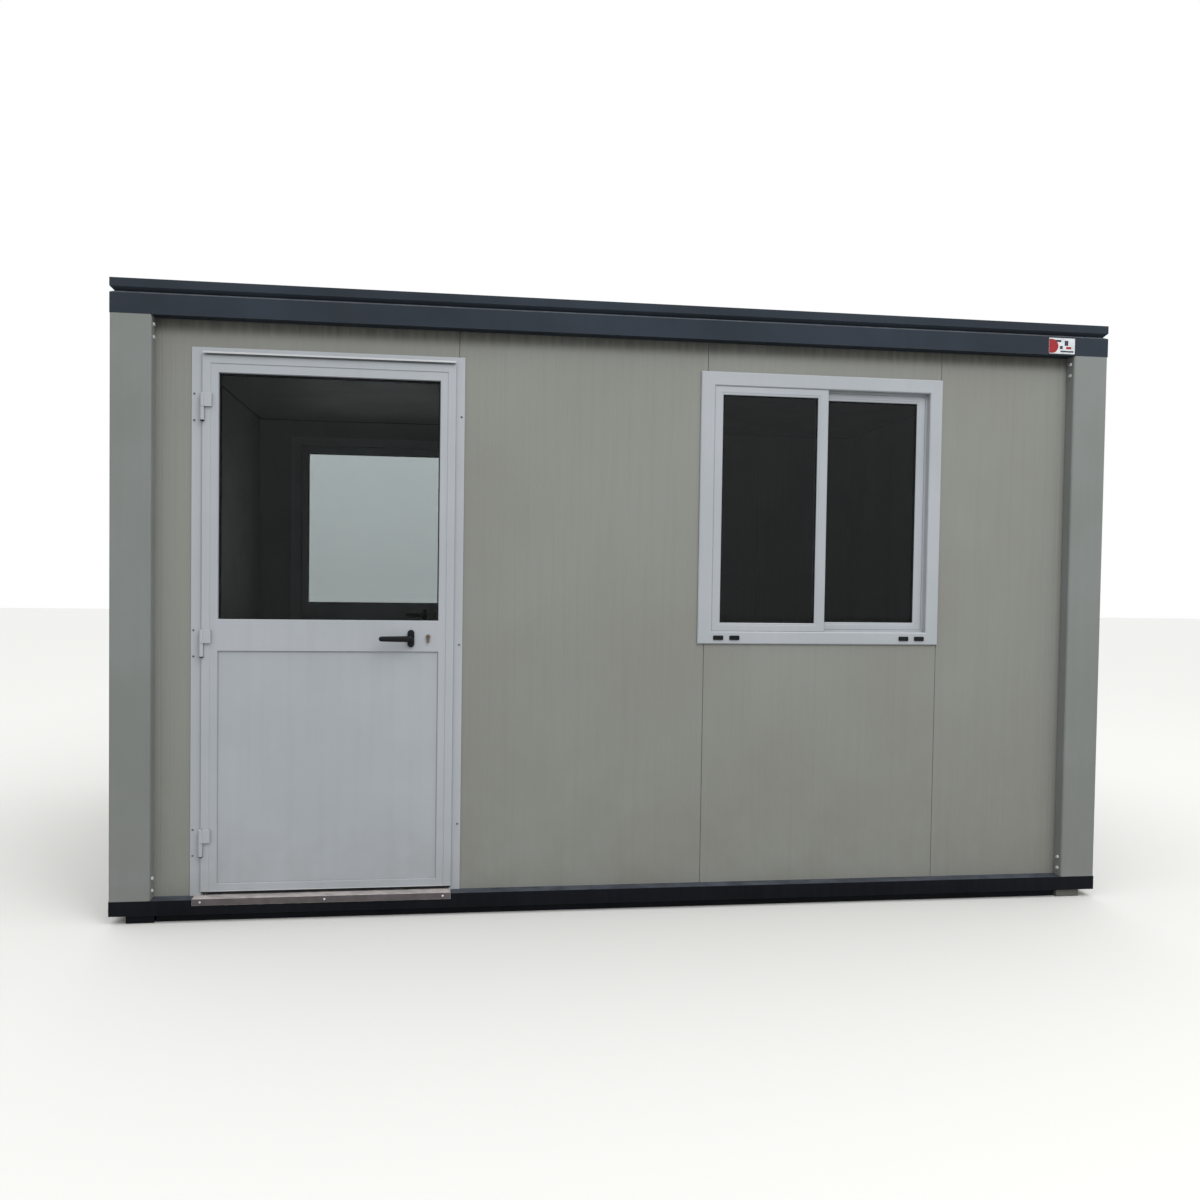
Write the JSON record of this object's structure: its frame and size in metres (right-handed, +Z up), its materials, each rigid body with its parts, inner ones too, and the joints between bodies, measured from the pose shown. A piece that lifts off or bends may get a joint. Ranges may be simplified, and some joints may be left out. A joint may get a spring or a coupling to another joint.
{
  "type": "portable site cabin",
  "caption": "Portable site cabin: steel frame on skids, sandwich-panel walls, half-glazed hinged doors in the long sides and a sliding window.",
  "frame": {"origin": "bottom centre of the cabin, at the level that its feet and skids rest on", "axes": "+X along the long side from the door to the window, -Y out of the front, +Z up"},
  "size_m": [4, 2.412, 2.416],
  "materials": {
    "dark_frame": "satin dark grey paint, dusty",
    "black_frame": "dull black paint",
    "grey_post": "satin light grey paint",
    "wall_panel": "matt light grey coil-coated sheet with fine vertical ribs",
    "galvanised": "galvanised, dull",
    "white_profile": "smooth white profile",
    "white_infill": "smooth white sheet",
    "glazing": "clear double glazing",
    "black_handle": "satin black",
    "floor_board": "grey-brown floor covering on plywood",
    "ceiling_skin": "matt white coated sheet",
    "plain_label": "plain printed film without lettering"
  },
  "bodies": {
    "cabin": {"skids": "black_frame", "feet": "dark_frame", "base_beams_long": "black_frame", "base_beams_end": "black_frame", "floor_joists": "black_frame", "floor_deck": "floor_board", "front_posts": "grey_post", "rear_posts": "grey_post", "post_bolts": "galvanised", "roof_beams_long": "dark_frame", "roof_beams_end": "dark_frame", "roof_edge_long": "dark_frame", "roof_edge_end": "dark_frame", "roof_sheet": "galvanised", "ceiling_panel": "ceiling_skin", "front_panel_left": "wall_panel", "front_panel_over_door": "wall_panel", "front_panel_middle": "wall_panel", "front_panel_over_window": "wall_panel", "front_panel_under_window": "wall_panel", "front_panel_right": "wall_panel", "rear_panels": "wall_panel", "rear_panel_over_door": "wall_panel", "left_end_panels": "wall_panel", "right_end_panels": "wall_panel", "front_door_frame": "white_profile", "front_door_sill": "galvanised", "front_door_hinges_fixed": "white_profile", "rear_door_frame": "white_profile", "rear_door_sill": "galvanised", "rear_door_hinges_fixed": "white_profile", "window_frame": "white_profile", "window_left_sash": "white_profile", "window_right_sash": "white_profile", "window_glass": "glazing", "window_weep_caps": "black_handle", "fascia_label": "plain_label"},
    "front_door": {"front_door_leaf": "white_profile", "front_door_glass": "glazing", "front_door_lower_panel": "white_infill", "front_door_hinges_moving": "white_profile", "front_door_lock": "black_handle"},
    "front_handle": {"front_door_lever": "black_handle"},
    "rear_door": {"rear_door_leaf": "white_profile", "rear_door_glass": "glazing", "rear_door_lower_panel": "white_infill", "rear_door_hinges_moving": "white_profile", "rear_door_lock": "black_handle"},
    "rear_handle": {"rear_door_lever": "black_handle"}
  },
  "joints": [
    {"name": "front_door_swing", "type": "hinge", "parent": "cabin", "child": "front_door", "pos_m": [-1.676, -1.166, 1.1], "axis": [0, 0, -1], "range_deg": [0, 160]},
    {"name": "front_handle_turn", "type": "hinge", "parent": "front_door", "child": "front_handle", "pos_m": [-0.888, -1.142, 1.083], "axis": [0, -1, 0], "range_deg": [0, 45], "stiffness_Nm_per_rad": 1.2, "springref_deg": -28.65},
    {"name": "rear_door_swing", "type": "hinge", "parent": "cabin", "child": "rear_door", "pos_m": [-1.676, 1.166, 1.1], "axis": [0, 0, 1], "range_deg": [0, 160]},
    {"name": "rear_handle_turn", "type": "hinge", "parent": "rear_door", "child": "rear_handle", "pos_m": [-0.888, 1.142, 1.083], "axis": [0, -1, 0], "range_deg": [0, 45], "stiffness_Nm_per_rad": 1.2, "springref_deg": -28.65}
  ]
}
